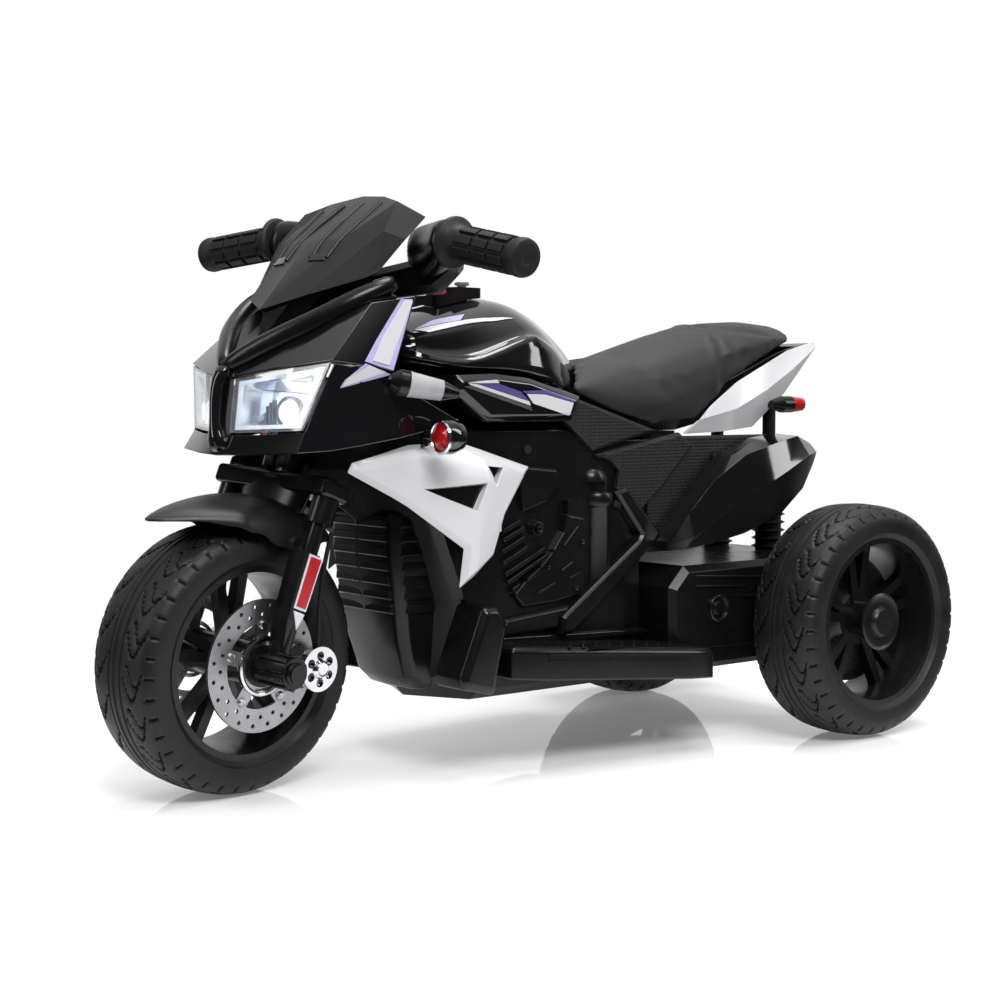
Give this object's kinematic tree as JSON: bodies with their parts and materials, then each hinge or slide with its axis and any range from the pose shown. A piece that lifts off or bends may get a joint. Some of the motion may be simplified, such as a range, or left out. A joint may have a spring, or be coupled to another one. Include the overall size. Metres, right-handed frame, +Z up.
{
  "type": "ride-on electric motorbike",
  "caption": "Child's battery ride-on motorbike with a steered front wheel, paired rear wheels, faceted black and white fairing, padded seat, footboards and lit headlights.",
  "frame": {"origin": "on the ground, midway between the axles and on the centre plane", "axes": "+X forward, +Y to the rider's left, +Z up"},
  "size_m": [0.8145, 0.3968, 0.4925],
  "materials": {
    "gloss_black": "high gloss",
    "satin_black": "satin",
    "dotted_black": "fine dotted grain",
    "white": "gloss",
    "seat": "matte leatherette",
    "grip": "matte ribbed",
    "tyre": "matte",
    "rim": "semi gloss",
    "steel": "satin",
    "disc": "brushed",
    "chrome": "polished",
    "hose": "matte",
    "clear_lens": "clear",
    "lamp": "lit",
    "red_lens": "clear red",
    "dash": "silver gloss",
    "red_button": "gloss",
    "grey_button": "satin",
    "rubber_black": "matte",
    "motor": "satin",
    "nylon": "satin",
    "inner_plastic": "satin",
    "socket": "satin"
  },
  "bodies": {
    "chassis": {"axle_housing": "satin_black", "axle_housing_lid": "satin_black", "battery": "inner_plastic", "body_shell_left": "satin_black", "body_shell_right": "satin_black", "charging_socket": "socket", "dash_panel": "dash", "drive_motor": "motor", "footboard_left": "satin_black", "footboard_right": "satin_black", "frame_braces": "satin_black", "front_cowl": "gloss_black", "front_indicator_lenses": "clear_lens", "gearbox_case": "inner_plastic", "head_tube": "satin_black", "headlight_chin": "gloss_black", "headlight_lamps": "lamp", "headlight_lenses": "clear_lens", "headlight_reflectors": "chrome", "hood_beam": "satin_black", "indicator_housings": "satin_black", "leg_shields": "gloss_black", "mufflers": "gloss_black", "rear_axle": "steel", "rear_indicator_lenses": "red_lens", "rear_shocks": "rubber_black", "screws": "steel", "seat": "seat", "seat_frame": "satin_black", "side_covers": "dotted_black", "side_lamp_housings": "chrome", "side_lamp_lenses": "red_lens", "side_panels": "white", "speaker": "inner_plastic", "tail_cowls": "white", "tank_cover": "gloss_black", "tank_strakes": "gloss_black", "windscreen": "satin_black"},
    "steering": {"steering_column": "steel", "fork_crown": "satin_black", "fork_legs": "satin_black", "front_mudguard": "satin_black", "front_axle": "steel", "calipers": "chrome", "brake_hoses": "hose", "handlebar": "satin_black", "grips": "grip"},
    "front_wheel": {"front_tyre": "tyre", "front_rim": "rim", "brake_discs": "disc"},
    "rear_wheel_left": {"rear_tyre_left": "tyre", "rear_rim_left": "rim"},
    "rear_wheel_right": {"rear_tyre_right": "tyre", "rear_rim_right": "rim", "drive_gear": "nylon"},
    "motor_pinion": {"motor_pinion": "nylon"},
    "accelerator_pedal": {"accelerator_pedal": "grey_button"},
    "start_button": {"start_button": "red_button"},
    "horn_button": {"horn_button": "grey_button"},
    "direction_switch": {"direction_switch": "grey_button"}
  },
  "joints": [
    {"name": "steering_turn", "type": "hinge", "parent": "chassis", "child": "steering", "pos_m": [0.297, 0, 0.11], "axis": [-0.3584, 0, 0.9336], "range_deg": [-24.3, 5.7]},
    {"name": "front_wheel_spin", "type": "hinge", "parent": "steering", "child": "front_wheel", "pos_m": [0.297, 0, 0.11], "axis": [-0.1509, 0.9869, -0.0579], "continuous": true},
    {"name": "rear_wheel_left_spin", "type": "hinge", "parent": "chassis", "child": "rear_wheel_left", "pos_m": [-0.297, 0.157, 0.11], "axis": [0, 1, 0], "continuous": true},
    {"name": "rear_wheel_right_spin", "type": "hinge", "parent": "chassis", "child": "rear_wheel_right", "pos_m": [-0.297, -0.157, 0.11], "axis": [0, 1, 0], "continuous": true},
    {"name": "motor_pinion_spin", "type": "hinge", "parent": "chassis", "child": "motor_pinion", "pos_m": [-0.267, -0.08, 0.11], "axis": [0, 1, 0], "continuous": true},
    {"name": "accelerator_press", "type": "hinge", "parent": "chassis", "child": "accelerator_pedal", "pos_m": [0.002, -0.105, 0.11055], "axis": [0, 1, 0], "range_deg": [0, 8], "stiffness_Nm_per_rad": 0.6, "springref_deg": -5.73},
    {"name": "start_button_press", "type": "slide", "parent": "chassis", "child": "start_button", "axis": [0, 0, -1], "range_m": [0, 0.0016], "stiffness_N_per_m": 300, "springref_m": -0.001},
    {"name": "horn_button_press", "type": "slide", "parent": "chassis", "child": "horn_button", "axis": [0, 0, -1], "range_m": [0, 0.0016], "stiffness_N_per_m": 300, "springref_m": -0.001},
    {"name": "direction_switch_rock", "type": "hinge", "parent": "chassis", "child": "direction_switch", "pos_m": [0.063, -0.011, 0.4155], "axis": [0, 1, 0], "range_deg": [-9, 9]}
  ],
  "couplings": [
    {"joint": "motor_pinion_spin", "follows": "rear_wheel_right_spin", "ratio": -3}
  ]
}
